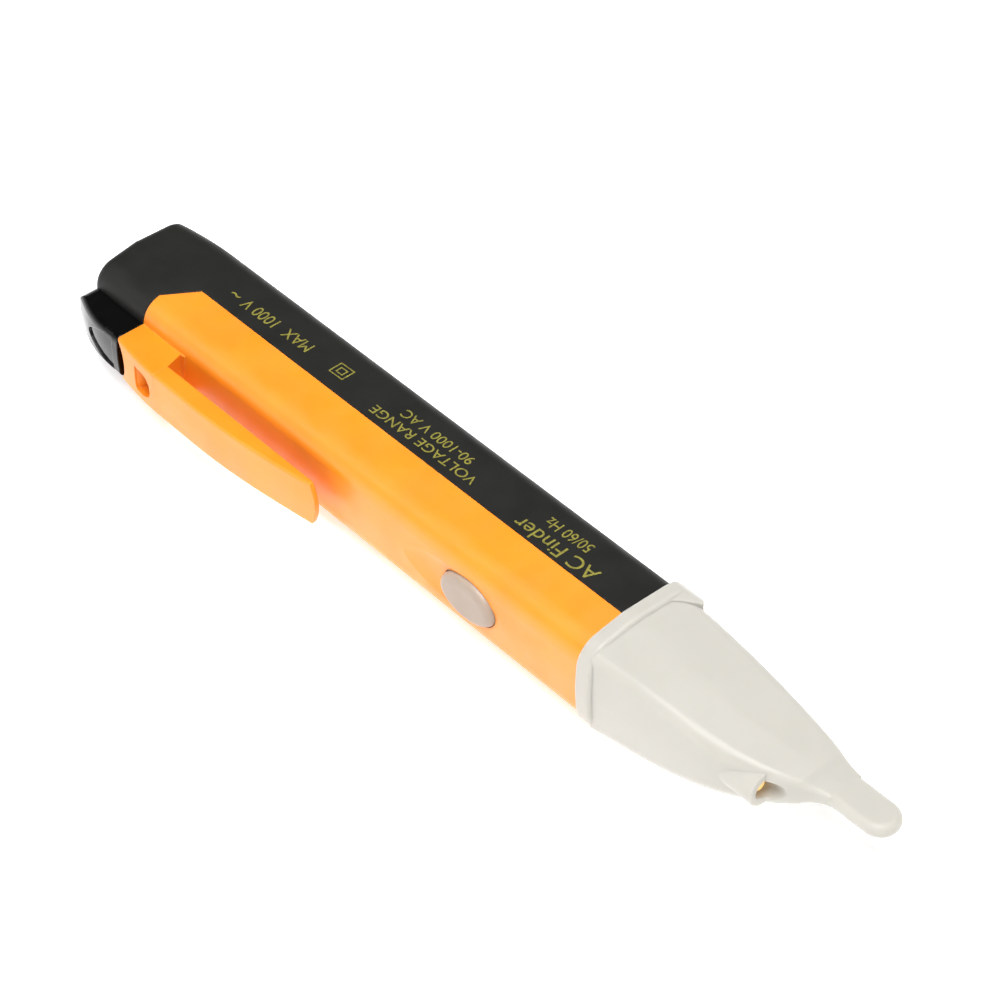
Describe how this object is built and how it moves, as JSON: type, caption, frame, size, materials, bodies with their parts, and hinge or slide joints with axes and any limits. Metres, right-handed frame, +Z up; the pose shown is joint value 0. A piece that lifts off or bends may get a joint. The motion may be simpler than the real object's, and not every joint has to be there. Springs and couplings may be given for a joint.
{
  "type": "non contact voltage tester",
  "caption": "Pen-shaped non contact voltage tester: two-colour sleeve with pocket clip and oval button, milky nose with a thin sensing blade and flashlight, and a pull-out battery tray.",
  "frame": {"origin": "centre of the bounding box's underside: the pen lies on its side", "axes": "+X along the pen to the sensing tip, +Y to the black back, away from the clip, +Z up, across the pen's flat sides"},
  "size_m": [0.155, 0.026, 0.0176],
  "materials": {
    "black_matte": "fine-textured black moulding",
    "black_gloss": "polished black moulding",
    "orange": "satin amber-orange moulding",
    "button_white": "satin off-white",
    "milky_nose": "milky translucent, satin",
    "tray_black": "plain black",
    "cell_jacket": "printed steel can",
    "contact_metal": "nickel plated",
    "board_green": "solder mask",
    "screw_steel": "zinc plated",
    "component_black": "moulded epoxy",
    "plunger_black": "plain black",
    "capacitor_tan": "ceramic",
    "lamp_red": "tinted epoxy",
    "lamp_clear": "clear epoxy",
    "antenna_brass": "plain"
  },
  "bodies": {
    "sleeve": {"back_shell": "black_matte", "front_cover": "orange", "tail_cap": "black_gloss"},
    "clip": {"pocket_clip": "orange"},
    "button": {"button_cap": "button_white"},
    "tray": {"nose_cone": "milky_nose", "battery_tray": "tray_black", "cell_1": "cell_jacket", "cell_2": "cell_jacket", "tail_contact": "contact_metal", "cell_spring": "contact_metal", "front_contact": "contact_metal", "circuit_board": "board_green", "board_screw": "screw_steel", "switch_body": "component_black", "buzzer": "component_black", "controller_chip": "component_black", "resistors": "component_black", "capacitors": "capacitor_tan", "transistors": "component_black", "alert_lamp": "lamp_red", "flashlight_lamp": "lamp_clear", "lamp_leads": "contact_metal", "sense_antenna": "antenna_brass"},
    "plunger": {"switch_plunger": "plunger_black"}
  },
  "joints": [
    {"name": "clip_flex", "type": "hinge", "parent": "sleeve", "child": "clip", "pos_m": [-0.0545, -0.01292, 0.00879], "axis": [0, 0, -1], "range_deg": [0, 6], "stiffness_Nm_per_rad": 2},
    {"name": "button_press", "type": "slide", "parent": "sleeve", "child": "button", "axis": [0, 1, 0], "range_m": [0, 0.00035], "stiffness_N_per_m": 5700},
    {"name": "tray_slide", "type": "slide", "parent": "sleeve", "child": "tray", "axis": [1, 0, 0], "range_m": [0, 0.11]},
    {"name": "plunger_press", "type": "slide", "parent": "tray", "child": "plunger", "axis": [0, 1, 0], "range_m": [0, 0.00035]}
  ],
  "couplings": [
    {"joint": "plunger_press", "follows": "button_press", "ratio": 1}
  ]
}
